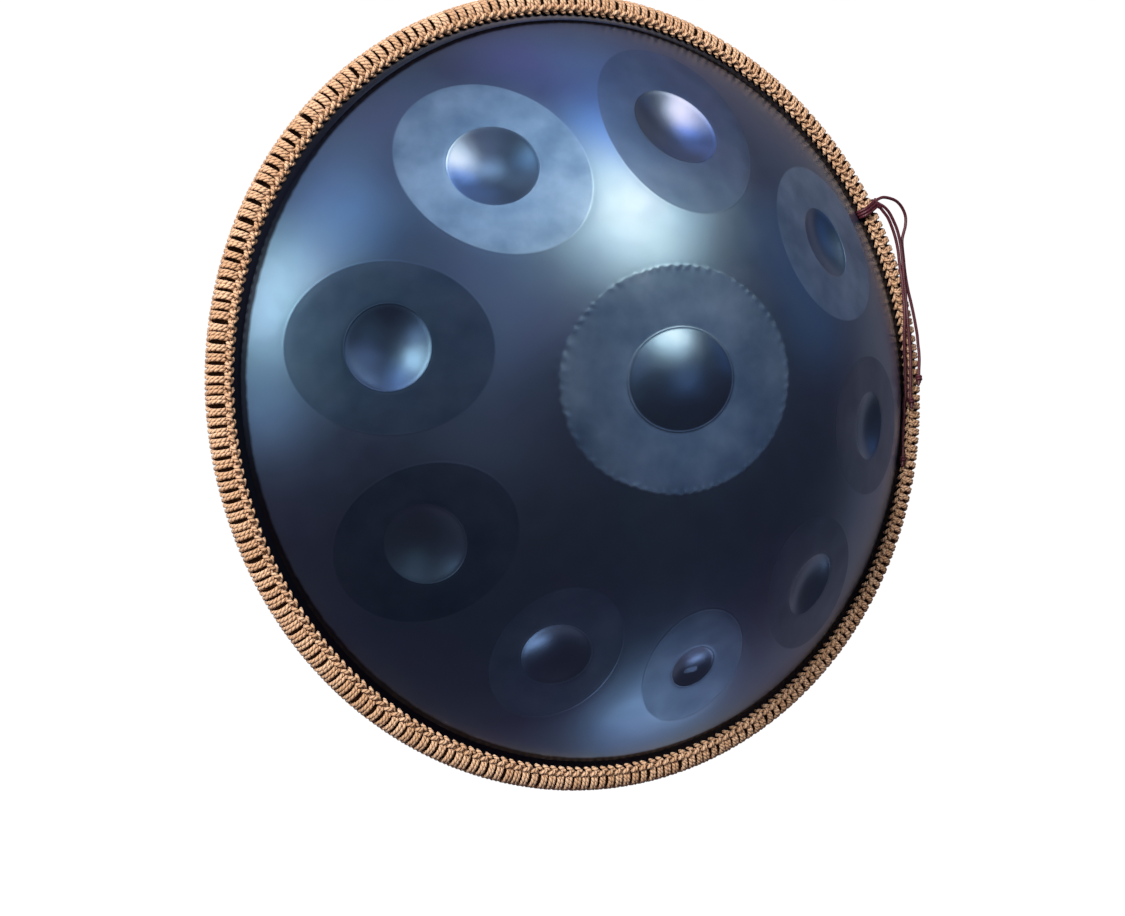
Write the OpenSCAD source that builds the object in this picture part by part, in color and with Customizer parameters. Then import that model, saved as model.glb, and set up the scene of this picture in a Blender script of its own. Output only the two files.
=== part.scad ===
// Handpan: two thin nitrided steel shells bonded flange to flange, with a crocheted
// cord trim round the rim and a short waxed tie cord hitched over the trim.
// It lies level on the rounded lip of its port. Origin: centre of the box, on the ground.

/* [Shells] */
// Diameter of each shell where the dome meets its flange
shell_d = 526; // [516:1:536]
// Height of each dome above its flange
dome_h = 112; // [106:1:118]
// Thickness of the steel sheet
wall = 1.2; // [0.9:0.1:1.5]
// Width of the flat flange round each shell
flange_w = 10; // [8:0.5:11]
// Thickness of the bond line between the two flanges
bond_t = 1; // [0.6:0.1:1.4]

/* [Tone fields] */
// How much each hammered field is flattened across its width: 0 leaves the dome, 1 is flat
field_flatness = 0.8; // [0.5:0.05:0.9]
// Depth of a dimple as a share of its radius
dimple_depth = 0.24; // [0.16:0.01:0.28]
// Half length of the oval dome in the centre field
ding_long = 39; // [36:0.5:42]
// Half width of the oval dome in the centre field
ding_short = 33; // [31:0.5:35]
// Height of the oval dome above the centre field
ding_h = 7; // [5:0.5:9]

/* [Port] */
// Inside radius of the port's neck
port_r = 53; // [48:1:58]
// Length of the straight neck inside the lower shell
port_len = 14; // [8:1:20]
// Outside radius of the rounded lip that the instrument rests on
lip_r = 5; // [4:0.5:7]

/* [Rim trim] */
// Outside diameter over the crocheted trim
trim_d = 560; // [554:1:566]
// Radius of the stitched bead that wraps the flange edge
wrap_r = 8.2; // [8:0.1:8.6]
// Radius of the plaited chain along each inner edge
chain_r = 4.2; // [4:0.1:4.4]

/* [Tie cord] */
// Diameter of the waxed tie cord
tie_d = 2.4; // [2:0.1:2.4]
// Radius of the knot at each free end
knot_r = 2.8; // [2.4:0.1:2.8]

/* [Hidden] */
$fn = 96;
// Facets on the large arcs that small pieces are fitted against
fine = 1440;

steel_blue = "#39456b";
jute_tan = "#c9a877";
wine_red = "#4a1626";
glue_grey = "#55524c";

// Rim stack, heights counted from the middle of the bond
shell_r = shell_d / 2;
flange_bottom = bond_t / 2;
flange_top = flange_bottom + wall;
flange_r = shell_r + flange_w;

// Sphere that each plain dome is part of
dome_r = (shell_r * shell_r + dome_h * dome_h) / (2 * dome_h);
dome_z = flange_top + dome_h - dome_r;

// Lip of the port: an arc that is tangent to the dome and to the neck
lip_x = port_r + lip_r;
lip_z = dome_z + sqrt(pow(dome_r - lip_r, 2) - lip_x * lip_x);
rim_z = lip_z + lip_r;

// Trim section
wrap_x = trim_d / 2 - wrap_r;
chain_x = shell_r + 3.5;
chain_z = flange_top + 3.8;
snug = 0.1;
far = 400;

// Tone fields round the dome: [angle, distance from the axis, dimple radius,
// half length along the radius, half width across it]
FIELDS = [
  [121, 178, 29.5, 69, 58],
  [74, 179, 31.5, 73, 59],
  [27, 184, 26.5, 64, 58],
  [-16, 190, 24.5, 58, 50],
  [-54, 195, 23.5, 60, 46],
  [-87, 196, 16.5, 48, 40],
  [-119, 190, 23, 52, 42],
  [-155, 189, 26, 61, 49],
  [166, 184, 27, 66, 54]
];
// The centre field: turn of its long side, half length and half width
ding_turn = 5;
ding_field_long = 86;
ding_field_short = 73;

// Tie cord: angle of the hitch, half its width, and how much cord is piled on the trim
hitch_angle = 24.1;
hitch_half = 0.85;
hitch_low_inside = 4;
hitch_low_outside = -3;

// Routes of the three strands: [angle round the rim, distance from the axis, height over the rim]
STRAND_A = [[24.6, 280, 8], [24.4, 286, 9], [23.6, 292, 9], [22.6, 297, 8.5], [21.3, 300, 7.5],
  [19.9, 300, 7], [18.7, 296.5, 7], [17.8, 292, 7], [17, 288, 7.5], [15.8, 285, 8], [14.4, 283, 8],
  [13, 281, 8], [11.6, 279.5, 8], [10.2, 278.5, 8], [8.8, 278, 8], [7.4, 278, 8], [6, 278, 8],
  [4.6, 278, 8], [3.2, 278, 8], [1.8, 278, 8], [0.4, 277.5, 8], [-1, 277, 8.5], [-2.4, 276, 9],
  [-3.8, 274.5, 9.5], [-5.2, 273, 10.5]];
STRAND_B = [[24.1, 280, 8], [23, 283, 9.5], [21.8, 285, 9.5], [20.4, 285.5, 9.5], [19, 285.5, 9.5],
  [17.6, 284.5, 9.5], [16.2, 283, 9.5], [14.8, 281, 9.5], [13.4, 279, 9.5], [12, 277, 9.5],
  [10.6, 275, 9.5], [9.2, 273.5, 10], [7.8, 272, 10], [6.4, 270.5, 10.5], [5, 269, 11],
  [3.6, 268, 11], [2.2, 267.5, 11], [0.8, 267, 11], [-0.6, 266.5, 11], [-2, 266, 11],
  [-3.4, 265, 11], [-4.8, 264.5, 11], [-6.2, 264, 11], [-7.6, 263.5, 11], [-9, 263.5, 12]];
STRAND_C = [[23.6, 280, 8], [22.4, 281.5, 8], [21.2, 283, 8], [19.8, 283, 8], [18.4, 282.5, 8],
  [17, 281.5, 8], [15.6, 280, 8], [14.2, 278, 8], [12.8, 276, 8.5], [11.4, 274, 9.5],
  [10, 272, 10], [8.6, 270.5, 10], [7.2, 269, 10.5], [5.8, 267, 11], [4.4, 265.5, 11],
  [3, 264, 10.5], [1.6, 263, 10], [0.2, 262.5, 9.5], [-1.2, 262, 9], [-2.6, 262, 9],
  [-4, 261.5, 8.5], [-5.4, 261.5, 8.5], [-6.8, 261.5, 8], [-8.2, 261.5, 8], [-9.6, 261, 7],
  [-11, 261, 7], [-12.6, 261, 6.5], [-14.2, 261, 6.5], [-15.8, 261, 7], [-17.4, 261.5, 8],
  [-19, 261.5, 9]];
KNOT_A = [-5.9, 272, 11.5];
KNOT_B = [-9.6, 263.5, 12.5];
KNOT_C = [-19.6, 261.5, 10.5];

// ---- helpers ----

function unit(v) = v / norm(v);
function place(p) = [p[1] * cos(p[0]), p[1] * sin(p[0]), rim_z + p[2]];

// Rings of a tube with 8 sides along a route
function ring(c, t, r) =
  let (side = unit(cross(t, [0, 0, 1])), up = cross(side, t))
  [for (k = [0 : 7]) c + r * (cos(45 * k) * side + sin(45 * k) * up)];
function heading(p, i) = unit(p[min(i + 1, len(p) - 1)] - p[max(i - 1, 0)]);

module tube(route, r) {
  p = [for (q = route) place(q)];
  n = len(p);
  rings = [for (i = [0 : n - 1]) each ring(p[i], heading(p, i), r)];
  walls = [for (i = [0 : n - 2], k = [0 : 7])
    [8 * i + k, 8 * i + (k + 1) % 8, 8 * i + 8 + (k + 1) % 8, 8 * i + 8 + k]];
  first_cap = [[for (k = [7 : -1 : 0]) k]];
  last_cap = [[for (k = [0 : 7]) 8 * (n - 1) + k]];
  polyhedron(points = rings, faces = concat(walls, first_cap, last_cap), convexity = 4);
}

// A barrel-shaped solid whose top is at the origin: its surface there bends with
// radius r_x along X and r_y, the larger one, along Y
module barrel(r_x, r_y, inset) {
  translate([0, 0, -r_y])
    rotate([0, 90, 0])
      rotate_extrude()
        intersection() {
          translate([r_y - r_x, 0]) circle(r_x - inset);
          translate([0, -2 * r_x]) square([2 * r_y, 4 * r_x]);
        }
}

// How far the middle of a field lies below the plain dome, from its half width
function field_drop(half_short) = field_flatness * half_short * half_short / (2 * dome_r);

// Radius of bend that makes a field of half size s, sunk by drop, meet the dome
function field_bend(s, drop) = 1 / (1 / dome_r - 2 * drop / (s * s));

// Radius of bend of the oval dome whose half size is s, standing on a field of half size field_s
function ding_bend(s, field_s, drop) = 1 / (2 * ding_h / (s * s) + 1 / field_bend(field_s, drop));

// Moves its children to a spot on the plain dome, X pointing down the slope
module on_dome(angle, x) {
  rotate([0, asin(x / dome_r), angle])
    translate([0, 0, dome_r]) children();
}

// Flattened surface that one tone field is hammered to
module field_form(half_long, half_short, inset) {
  drop = field_drop(half_short);
  translate([0, 0, -drop])
    barrel(field_bend(half_long, drop), field_bend(half_short, drop), inset);
}

// Ball that presses one dimple into its field
module dimple_form(r, half_long, half_short, inset) {
  drop = field_drop(half_short);
  bend = (field_bend(half_long, drop) + field_bend(half_short, drop)) / 2;
  depth = r * dimple_depth;
  sunk = depth - r * r / (2 * bend);
  ball = (r * r + sunk * sunk) / (2 * sunk);
  translate([0, 0, ball - drop - depth]) sphere(ball + inset);
}

// The whole ball that the top dome is cut from, with every field, dimple and the
// centre dome, made smaller all over by inset
module top_form(inset) {
  ding_drop = field_drop(ding_field_short);
  difference() {
    intersection() {
      sphere(dome_r - inset);
      for (f = FIELDS)
        on_dome(f[0], f[1]) field_form(f[3], f[4], inset);
      on_dome(ding_turn, 0) field_form(ding_field_long, ding_field_short, inset);
    }
    for (f = FIELDS)
      on_dome(f[0], f[1]) dimple_form(f[2], f[3], f[4], inset);
  }
  on_dome(ding_turn + 90, 0)
    translate([0, 0, ding_h - ding_drop])
      barrel(ding_bend(ding_short, ding_field_short, ding_drop),
             ding_bend(ding_long, ding_field_long, ding_drop), inset);
}

// Flat ring of the rim stack
module rim_ring(inner, outer, low, high) {
  translate([0, 0, rim_z + low])
    difference() {
      cylinder(r = outer, h = high - low);
      translate([0, 0, -1]) cylinder(r = inner, h = high - low + 2);
    }
}

// ---- the shells ----

module top_shell() {
  color(steel_blue)
    union() {
      translate([0, 0, rim_z + dome_z])
        difference() {
          intersection() {
            top_form(0);
            translate([0, 0, flange_bottom - dome_z]) cylinder(r = far, h = far);
          }
          top_form(wall);
        }
      rim_ring(shell_r - wall, flange_r, flange_bottom, flange_top);
    }
}

// Half section of the lower shell, drawn the other way up
module lower_section() {
  reach = 3 * lip_r;
  lip_angle = atan2(lip_x, lip_z - dome_z);
  intersection() {
    difference() {
      translate([0, dome_z]) circle(dome_r);
      translate([0, dome_z]) circle(dome_r - wall);
    }
    polygon([[lip_x, lip_z], [lip_x + reach * sin(lip_angle), lip_z + reach * cos(lip_angle)],
      [far, lip_z + reach], [far, flange_bottom], [lip_x, flange_bottom]]);
  }
  intersection() {
    difference() {
      translate([lip_x, lip_z]) circle(lip_r);
      translate([lip_x, lip_z]) circle(lip_r - wall);
    }
    polygon([[lip_x, lip_z], [lip_x + reach * sin(lip_angle), lip_z + reach * cos(lip_angle)],
      [lip_x - reach, lip_z + reach], [lip_x - reach, lip_z]]);
  }
  translate([port_r, lip_z - port_len]) square([wall, port_len]);
  translate([shell_r - wall, flange_bottom]) square([flange_w + wall, wall]);
}

module bottom_shell() {
  color(steel_blue)
    translate([0, 0, rim_z])
      mirror([0, 0, 1])
        rotate_extrude() lower_section();
}

module rim_bond() {
  color(glue_grey)
    rim_ring(shell_r, flange_r - 1, -flange_bottom, flange_bottom);
}

// ---- the crocheted trim ----

// Section of everything made of steel near the rim, for the trim to sit against
module rim_steel_section(gap) {
  for (flip = [0, 1])
    mirror([0, flip]) {
      intersection() {
        translate([0, dome_z]) circle(dome_r + gap, $fn = fine);
        square(far);
      }
      square([flange_r + gap, flange_top + gap]);
    }
}

module chain_section(r) {
  translate([chain_x, chain_z]) circle(r);
}

module rim_wrap() {
  color(jute_tan)
    translate([0, 0, rim_z])
      rotate_extrude()
        difference() {
          translate([wrap_x, 0]) circle(wrap_r);
          translate([0, -far / 2]) square([chain_x, far]);
          rim_steel_section(snug);
          chain_section(chain_r + snug);
          mirror([0, 1]) chain_section(chain_r + snug);
        }
}

module rim_chain() {
  color(jute_tan)
    rotate_extrude()
      difference() {
        chain_section(chain_r);
        rim_steel_section(snug);
      }
}

module rim_chain_top() {
  translate([0, 0, rim_z]) rim_chain();
}

module rim_chain_bottom() {
  translate([0, 0, rim_z]) mirror([0, 0, 1]) rim_chain();
}

// ---- the tie cord ----

module tie_hitch() {
  color(wine_red)
    translate([0, 0, rim_z])
      rotate([0, 0, hitch_angle - hitch_half])
        rotate_extrude(angle = 2 * hitch_half)
          intersection() {
            difference() {
              union() {
                chain_section(chain_r + snug + tie_d);
                translate([wrap_x, 0]) circle(wrap_r + snug + tie_d);
              }
              chain_section(chain_r + snug);
              translate([wrap_x, 0]) circle(wrap_r + snug);
              rim_steel_section(snug);
            }
            polygon([[0, hitch_low_inside], [wrap_x, hitch_low_inside], [wrap_x, hitch_low_outside],
              [far, hitch_low_outside], [far, far], [0, far]]);
          }
}

module tie_strand(route) {
  color(wine_red) tube(route, tie_d / 2);
}

module tie_knot(spot) {
  color(wine_red) translate(place(spot)) sphere(knot_r);
}

top_shell();
bottom_shell();
rim_bond();
rim_wrap();
rim_chain_top();
rim_chain_bottom();
tie_hitch();
tie_strand(STRAND_A);  // tie_strand_a
tie_strand(STRAND_B);  // tie_strand_b
tie_strand(STRAND_C);  // tie_strand_c
tie_knot(KNOT_A);  // tie_knot_a
tie_knot(KNOT_B);  // tie_knot_b
tie_knot(KNOT_C);  // tie_knot_c
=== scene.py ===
# %% [markdown]
# # A handpan: two steel shells and one long cord
# A handpan is two domed steel sheets glued together at their flanges. The top one carries a
# ring of hammered tone fields, each with a dimple, round a raised dome in the middle. A jute
# cord is crocheted over the sharp edge, and a short waxed cord is hitched over that.
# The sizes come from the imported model, so that every piece made here lands exactly on its own
# part. All lengths are in metres.

# %% Tools, the frame and the sizes that everything follows
import math
import random

import bpy
from mathutils import Matrix, Vector, noise


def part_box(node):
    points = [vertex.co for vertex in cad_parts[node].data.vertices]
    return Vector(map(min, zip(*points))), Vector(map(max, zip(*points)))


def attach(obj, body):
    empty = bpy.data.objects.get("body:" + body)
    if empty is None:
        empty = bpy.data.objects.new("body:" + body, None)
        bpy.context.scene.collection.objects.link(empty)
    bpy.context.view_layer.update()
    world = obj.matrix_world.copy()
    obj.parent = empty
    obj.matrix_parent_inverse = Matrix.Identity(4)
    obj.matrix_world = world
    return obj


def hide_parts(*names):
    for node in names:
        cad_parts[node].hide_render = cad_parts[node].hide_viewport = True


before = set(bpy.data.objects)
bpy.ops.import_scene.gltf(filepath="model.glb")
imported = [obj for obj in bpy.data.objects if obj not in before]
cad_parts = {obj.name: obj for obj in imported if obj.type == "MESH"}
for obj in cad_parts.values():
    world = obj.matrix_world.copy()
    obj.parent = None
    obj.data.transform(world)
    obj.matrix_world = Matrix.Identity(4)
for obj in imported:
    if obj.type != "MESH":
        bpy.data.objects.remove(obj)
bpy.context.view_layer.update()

MM = 0.001
wrap_low, wrap_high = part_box("rim_wrap")
top_low, top_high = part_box("top_shell")

RIM_Z = (wrap_low.z + wrap_high.z) / 2
TRIM_R = wrap_high.x
FLANGE_R = top_high.x
FLANGE_LOW = top_low.z - RIM_Z
SHEET = 1.2 * MM
FLANGE_TOP = FLANGE_LOW + SHEET
SHELL_R = FLANGE_R - 10 * MM
DOME_H = 112 * MM
DOME_R = (SHELL_R ** 2 + DOME_H ** 2) / (2 * DOME_H)
DOME_Z = RIM_Z + FLANGE_TOP + DOME_H - DOME_R
print(f"rim plane at {RIM_Z:.4f} m, flange radius {FLANGE_R:.3f} m, dome bends at {DOME_R:.4f} m")

# %% [markdown]
# ## The camera
# The instrument is seen from above one side, so the ring of tone fields shows as an oval. The
# camera's three directions are written out as vectors, because that is the plainest way to
# turn a camera a little about its own line of sight as well.

# %% Camera
eye = Vector((-0.4827, 0.0, RIM_Z + 0.9089))
look = Vector((0.4380, -0.0422, -0.8980)).normalized()
right = look.cross(Vector((0.1419, 0.9896, 0.0227))).normalized()
upright = right.cross(look)

def add_object(name, data):
    """A new object with that data, in the scene."""
    made = bpy.data.objects.new(name, data)
    bpy.context.scene.collection.objects.link(made)
    return made


camera = add_object("camera", bpy.data.cameras.new("camera"))
camera.data.lens = 46.61
camera.data.sensor_width = 36
camera.matrix_world = Matrix.Translation(eye) @ Matrix((right, upright, -look)).transposed().to_4x4()
bpy.context.scene.camera = camera
print(f"camera {eye.length:.2f} m from the origin")

# %% [markdown]
# ## Sweeping a cord
# Every cord on the instrument is a round section swept along a path. The section must not spin
# as it goes, so each ring starts from the one before it, turned only as far as the path turns.
# The UV map holds how far round (U) and how far along (V, in metres) each point is, and the
# twist and the braid of the cords are drawn with it later.

# %% Path and tube helpers
def smooth_path(points, parts):
    """A Catmull-Rom curve through the points, with that many parts between two of them."""
    ends = [points[0] * 2 - points[1], *points, points[-1] * 2 - points[-2]]
    path = []
    for a, b, c, d in zip(ends, ends[1:], ends[2:], ends[3:]):
        for part in range(parts):
            t = part / parts
            path.append(0.5 * (2 * b + (c - a) * t + (2 * a - 5 * b + 4 * c - d) * t * t
                               + (3 * b - a - 3 * c + d) * t ** 3))
    return [*path, points[-1]]


def path_length(path):
    return sum((b - a).length for a, b in zip(path, path[1:]))


def sweep(path, radius, sides=12, start_v=0.0):
    """Points, faces and UVs of a closed tube. Radius is a number, or a function of 0..1."""
    size = radius if callable(radius) else lambda share: radius
    whole = path_length(path)
    points, uvs, faces, gone = [], [], [], 0.0
    ahead = (path[1] - path[0]).normalized()
    side = ahead.orthogonal().normalized()
    for i, centre in enumerate(path):
        before, after = path[max(i - 1, 0)], path[min(i + 1, len(path) - 1)]
        new_ahead = (after - before).normalized()
        side = (ahead.rotation_difference(new_ahead) @ side).normalized()
        ahead = new_ahead
        over = ahead.cross(side)
        gone += (centre - before).length if i else 0.0
        for k in range(sides):
            angle = math.tau * k / sides
            spoke = math.cos(angle) * side + math.sin(angle) * over
            points.append(centre + size(gone / whole) * spoke)
        uvs.append(start_v + gone)
    face_uvs = []
    for i in range(len(path) - 1):
        for k in range(sides):
            nxt = (k + 1) % sides
            faces.append((i * sides + k, i * sides + nxt, (i + 1) * sides + nxt, (i + 1) * sides + k))
            face_uvs.append([(k / sides, uvs[i]), ((k + 1) / sides, uvs[i]),
                             ((k + 1) / sides, uvs[i + 1]), (k / sides, uvs[i + 1])])
    last = (len(path) - 1) * sides
    faces.append(tuple(reversed(range(sides))))
    face_uvs.append([(k / sides, uvs[0]) for k in reversed(range(sides))])
    faces.append(tuple(last + k for k in range(sides)))
    face_uvs.append([(k / sides, uvs[-1]) for k in range(sides)])
    return points, faces, face_uvs


def piece_of(name, parts, material=None):
    """One object made of several swept parts, smooth-shaded, with its UV map."""
    points, faces, face_uvs = [], [], []
    for part_points, part_faces, part_uvs in parts:
        shift = len(points)
        points += part_points
        faces += [tuple(shift + i for i in face) for face in part_faces]
        face_uvs += part_uvs
    mesh = bpy.data.meshes.new(name)
    mesh.from_pydata(points, [], faces)
    uv_map = mesh.uv_layers.new(name="UVMap")
    flat = [number for face in face_uvs for uv in face for number in uv]
    uv_map.data.foreach_set("uv", flat)
    mesh.shade_smooth()
    if material:
        mesh.materials.append(material)
    return add_object(name, mesh)


def keep(piece, slot, *nodes):
    """Rides a finished piece on the instrument and hides the plain solids it stands for."""
    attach(piece, "root")
    if nodes:
        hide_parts(*nodes)
    triangles = sum(len(face.vertices) - 2 for face in piece.data.polygons)
    print(f"{piece.name}: {triangles} triangles")
    return piece

# %% [markdown]
# ## Sums made with wires
# Geometry Nodes and shaders both work by wiring Math nodes together. Written node by node, a
# short formula becomes a page, so this small class lets Python's own + and * place the nodes:
# `depth * (1 - reach ** 2)` adds three Math nodes and wires them.

# %% The Wire class
class Wire:
    """An output socket. A sum written with it adds a Math node to its tree."""

    def __init__(self, socket):
        self.socket = socket

    def math(self, operation, *values):
        return place(self.socket.id_data, "ShaderNodeMath", values or (self,), operation=operation)


TWO_SIDED = {"add": "ADD", "sub": "SUBTRACT", "mul": "MULTIPLY", "truediv": "DIVIDE", "pow": "POWER"}
BY_NAME = {"root": "SQRT", "sine": "SINE", "cosine": "COSINE", "whole": "FLOOR",
           "above": "GREATER_THAN", "lowest": "MINIMUM", "highest": "MAXIMUM"}
for sign, operation in TWO_SIDED.items():
    setattr(Wire, f"__{sign}__", lambda wire, other, kind=operation: wire.math(kind, wire, other))
    setattr(Wire, f"__r{sign}__", lambda wire, other, kind=operation: wire.math(kind, other, wire))
for name, operation in BY_NAME.items():
    setattr(Wire, name, lambda *wires, kind=operation: wires[0].math(kind, *wires))
print(f"a Wire knows {len(TWO_SIDED)} signs and {len(BY_NAME)} functions")

# %% [markdown]
# ## Placing nodes
# One function places a node and feeds it, one makes a node group with named sockets, and a few
# short ones give the sums that come back again and again: a rounded corner, a bell, a noise.

# %% Node helpers
def feed(socket, value):
    """Wires a Wire to a socket, or sets a plain value on it."""
    if isinstance(value, Wire):
        socket.id_data.links.new(value.socket, socket)
    else:
        socket.default_value = value


def place(tree, kind, values=(), out=0, **settings):
    """Adds one node, feeds its inputs by order or by name, and returns one output as a Wire."""
    node = tree.nodes.new(kind)
    for setting, choice in settings.items():
        setattr(node, setting, choice)
    pairs = values.items() if isinstance(values, dict) else enumerate(values)
    for key, value in pairs:
        feed(node.inputs[key], value)
    return Wire(node.outputs[out])


def smooth_above(value, softness):
    """The larger of a value and 0, with the corner rounded over about that softness."""
    return 0.5 * (value + (value * value + softness * softness).root())


def clamp(value):
    """The value held between 0 and 1."""
    return value.highest(0.0).lowest(1.0)


def bell(value, middle, spread):
    """1 where the value is the middle one, falling to 0 over the spread on both sides."""
    away = (value - middle) / spread
    return (away * away * -1.0).math("EXPONENT")


def dot(tree, a, b):
    return place(tree, "ShaderNodeVectorMath", (a, b), out="Value", operation="DOT_PRODUCT")


def vector(tree, x, y, z):
    return place(tree, "ShaderNodeCombineXYZ", (x, y, z))


def ripples(tree, where, scale, detail=2.0):
    """Smooth noise from -0.5 to 0.5, whose lumps are about 1 / scale metres across."""
    lumps = place(tree, "ShaderNodeTexNoise", {"Vector": where, "Scale": scale, "Detail": detail})
    return lumps - 0.5


def object_place(tree):
    """The shaded point's own place on the object, in metres."""
    return place(tree, "ShaderNodeTexCoord", out="Object")


def new_group(name, kind, inputs, outputs):
    """A node group with named sockets: the tree, its inputs as Wires, and its output node."""
    tree = bpy.data.node_groups.new(name, kind)
    for label, socket_kind, start in inputs:
        socket = tree.interface.new_socket(name=label, in_out="INPUT", socket_type=socket_kind)
        if start is not None:
            socket.default_value = start
    for label, socket_kind in outputs:
        tree.interface.new_socket(name=label, in_out="OUTPUT", socket_type=socket_kind)
    entry = tree.nodes.new("NodeGroupInput")
    given = {socket.name: Wire(socket) for socket in entry.outputs if socket.name}
    return tree, given, tree.nodes.new("NodeGroupOutput")


FLOAT, VECTOR, INT = "NodeSocketFloat", "NodeSocketVector", "NodeSocketInt"
GEOMETRY, COLOUR = "NodeSocketGeometry", "NodeSocketColor"
MATERIAL, COLLECTION = "NodeSocketMaterial", "NodeSocketCollection"


def grow(name, tree, values):
    """Runs a Geometry Nodes tree on an empty object and keeps the result as a plain mesh."""
    holder = add_object(name, bpy.data.meshes.new(name + "_start"))
    modifier = holder.modifiers.new("growth", "NODES")
    modifier.node_group = tree
    sockets = {item.name: item.identifier for item in tree.interface.items_tree
               if item.item_type == "SOCKET" and item.in_out == "INPUT"}
    for label, value in values.items():
        modifier[sockets[label]] = value
    depsgraph = bpy.context.evaluated_depsgraph_get()
    plain = bpy.data.meshes.new_from_object(
        holder.evaluated_get(depsgraph), preserve_all_data_layers=True, depsgraph=depsgraph)
    holder.modifiers.remove(modifier)
    holder.data = plain
    plain.name = name
    return holder


print("node helpers ready")

# %% [markdown]
# ## The tie cord's material
# The tie cord is a braided, waxed cord: eight thin yarns that cross over each other in a tight
# diamond pattern, wine red and nearly black in shade. Two slanted waves on the UV map, one for
# each hand of the braid, multiply into diamonds. They drive both the height and the colour: where
# the braid dips between the yarns the colour darkens to near black, as painted shade.

# %% Waxed cord material
def new_material(name):
    """An empty material: its tree and its Principled shader's inputs, already wired out."""
    material = bpy.data.materials.new(name)
    material.use_nodes = True
    tree = material.node_tree
    tree.nodes.clear()
    shader = tree.nodes.new("ShaderNodeBsdfPrincipled")
    output = tree.nodes.new("ShaderNodeOutputMaterial")
    tree.links.new(shader.outputs["BSDF"], output.inputs["Surface"])
    return material, tree, shader.inputs


def mix_colours(tree, share, first, second):
    node = tree.nodes.new("ShaderNodeMix")
    node.data_type = "RGBA"
    for socket, value in zip((node.inputs[0], node.inputs[6], node.inputs[7]), (share, first, second)):
        feed(socket, value)
    return Wire(node.outputs[2])


def bump(tree, height, distance):
    return place(tree, "ShaderNodeBump", {"Height": height, "Distance": distance}, out="Normal")


def uv_parts(tree):
    """How far round and how far along the cord a point is."""
    split = place(tree, "ShaderNodeSeparateXYZ", {0: place(tree, "ShaderNodeUVMap", uv_map="UVMap")})
    return split, Wire(split.socket.node.outputs["Y"])


def waxed_cord():
    material, tree, shader = new_material("waxed_cord")
    yarns, pitch = 4, 3.2 * MM
    around, along = uv_parts(tree)
    turn = along * (math.tau / pitch)
    left = (around * (math.tau * yarns) + turn).sine()
    right_hand = (around * (math.tau * yarns) - turn).sine()
    braid = left * right_hand * 0.5 + 0.5
    where = object_place(tree)
    wear = ripples(tree, where, 220.0) + 0.5
    dark = (0.014, 0.003, 0.006, 1)
    wine = (0.130, 0.012, 0.034, 1)
    # Painted shade: the colour darkens where the braid dips between the yarns. The wear noise varies
    # it at random.
    feed(shader["Base Color"], mix_colours(tree, braid * 0.6 + wear * 0.5, dark, wine))
    feed(shader["Roughness"], 0.38 + 0.25 * wear)
    feed(shader["Normal"], bump(tree, braid, 0.12 * MM))
    feed(shader["Sheen Weight"], 0.15)
    feed(shader["Sheen Roughness"], 0.4)
    return material


WAXED = waxed_cord()
print("material:", WAXED.name)

# %% [markdown]
# ## The tie cord
# A real tie cord is a fixed length of something limp that lies on the trim. Each strand starts
# in the hitch, follows its own route along the rim and ends in a tight stopper knot with a
# short tail. The routes are lists of places, each with its angle round the rim in degrees, its
# distance from the axis and its height over the rim plane in millimetres. The angles and the
# distances follow a path that was measured with another program, and were rounded and spaced.
# The heights were chosen one by one. The imported model's plain tubes follow the same routes.

# %% Routes of the three strands
TIE_R = 1.2 * MM
HITCH_ANGLE = 24.1
ROUTES = {
    "a": [(24.6, 280, 8), (24.4, 286, 9), (23.6, 292, 9), (22.6, 297, 8.5), (21.3, 300, 7.5),
          (19.9, 300, 7), (18.7, 296.5, 7), (17.8, 292, 7), (17, 288, 7.5), (15.8, 285, 8),
          (14.4, 283, 8), (13, 281, 8), (11.6, 279.5, 8), (10.2, 278.5, 8), (8.8, 278, 8),
          (7.4, 278, 8), (6, 278, 8), (4.6, 278, 8), (3.2, 278, 8), (1.8, 278, 8), (0.4, 277.5, 8),
          (-1, 277, 8.5), (-2.4, 276, 9), (-3.8, 274.5, 9.5), (-5.2, 273, 10.5)],
    "b": [(24.1, 280, 8), (23, 283, 9.5), (21.8, 285, 9.5), (20.4, 285.5, 9.5), (19, 285.5, 9.5),
          (17.6, 284.5, 9.5), (16.2, 283, 9.5), (14.8, 281, 9.5), (13.4, 279, 9.5), (12, 277, 9.5),
          (10.6, 275, 9.5), (9.2, 273.5, 10), (7.8, 272, 10), (6.4, 270.5, 10.5), (5, 269, 11),
          (3.6, 268, 11), (2.2, 267.5, 11), (0.8, 267, 11), (-0.6, 266.5, 11), (-2, 266, 11),
          (-3.4, 265, 11), (-4.8, 264.5, 11), (-6.2, 264, 11), (-7.6, 263.5, 11), (-9, 263.5, 12)],
    "c": [(23.6, 280, 8), (22.4, 281.5, 8), (21.2, 283, 8), (19.8, 283, 8), (18.4, 282.5, 8),
          (17, 281.5, 8), (15.6, 280, 8), (14.2, 278, 8), (12.8, 276, 8.5), (11.4, 274, 9.5),
          (10, 272, 10), (8.6, 270.5, 10), (7.2, 269, 10.5), (5.8, 267, 11), (4.4, 265.5, 11),
          (3, 264, 10.5), (1.6, 263, 10), (0.2, 262.5, 9.5), (-1.2, 262, 9), (-2.6, 262, 9),
          (-4, 261.5, 8.5), (-5.4, 261.5, 8.5), (-6.8, 261.5, 8), (-8.2, 261.5, 8), (-9.6, 261, 7),
          (-11, 261, 7), (-12.6, 261, 6.5), (-14.2, 261, 6.5), (-15.8, 261, 7), (-17.4, 261.5, 8),
          (-19, 261.5, 9)],
}


def rim_place(angle, distance, height):
    turn = math.radians(angle)
    return Vector((distance * math.cos(turn), distance * math.sin(turn), RIM_Z + height))


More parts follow.
